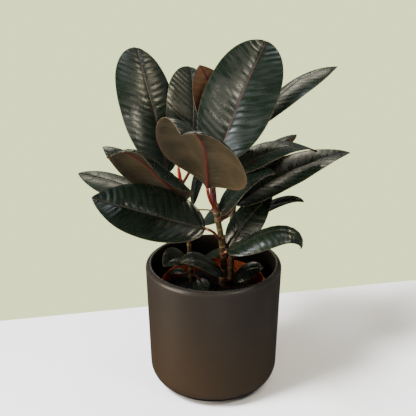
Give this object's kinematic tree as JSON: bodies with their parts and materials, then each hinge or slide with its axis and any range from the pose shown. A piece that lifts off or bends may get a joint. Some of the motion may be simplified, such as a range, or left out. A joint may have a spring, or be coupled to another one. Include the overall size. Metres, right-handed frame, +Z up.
{
  "type": "potted rubber plant",
  "caption": "Rubber plant with broad dark glossy leaves on three stems, rooted in soil in a plastic nursery pot that stands inside a round ceramic cover pot.",
  "frame": {"origin": "centre of the cover pot's flat underside", "axes": "+Z up along the pot's axis, -Y towards the front"},
  "size_m": [0.404, 0.408, 0.4975],
  "materials": {
    "cover_ceramic": "satin dark bronze glaze",
    "nursery_plastic": "terracotta-coloured plastic",
    "soil": "moist potting soil",
    "stem_bark": "smooth olive-brown stem",
    "bud_sheath": "smooth red sheath",
    "leaf_blade": "waxy blackish green",
    "petiole": "smooth red-brown"
  },
  "bodies": {
    "root": {"cover_pot": "cover_ceramic", "nursery_pot": "nursery_plastic", "soil": "soil", "left_stem": "stem_bark", "left_bud": "bud_sheath", "main_stem": "stem_bark", "main_bud": "bud_sheath", "right_stem": "stem_bark", "right_bud": "bud_sheath", "left_leaf_1": "leaf_blade", "left_petiole_1": "petiole", "left_leaf_2": "leaf_blade", "left_petiole_2": "petiole", "left_leaf_3": "leaf_blade", "left_petiole_3": "petiole", "left_leaf_4": "leaf_blade", "left_petiole_4": "petiole", "left_leaf_5": "leaf_blade", "left_petiole_5": "petiole", "left_leaf_6": "leaf_blade", "left_petiole_6": "petiole", "left_leaf_7": "leaf_blade", "left_petiole_7": "petiole", "main_leaf_1": "leaf_blade", "main_petiole_1": "petiole", "main_leaf_2": "leaf_blade", "main_petiole_2": "petiole", "main_leaf_3": "leaf_blade", "main_petiole_3": "petiole", "main_leaf_4": "leaf_blade", "main_petiole_4": "petiole", "main_leaf_5": "leaf_blade", "main_petiole_5": "petiole", "main_leaf_6": "leaf_blade", "main_petiole_6": "petiole", "main_leaf_7": "leaf_blade", "main_petiole_7": "petiole", "main_leaf_8": "leaf_blade", "main_petiole_8": "petiole", "main_leaf_9": "leaf_blade", "main_petiole_9": "petiole", "right_leaf_1": "leaf_blade", "right_petiole_1": "petiole", "right_leaf_2": "leaf_blade", "right_petiole_2": "petiole", "right_leaf_3": "leaf_blade", "right_petiole_3": "petiole", "right_leaf_4": "leaf_blade", "right_petiole_4": "petiole", "right_leaf_5": "leaf_blade", "right_petiole_5": "petiole", "right_leaf_6": "leaf_blade", "right_petiole_6": "petiole", "right_leaf_7": "leaf_blade", "right_petiole_7": "petiole", "right_leaf_8": "leaf_blade", "right_petiole_8": "petiole"}
  },
  "joints": []
}
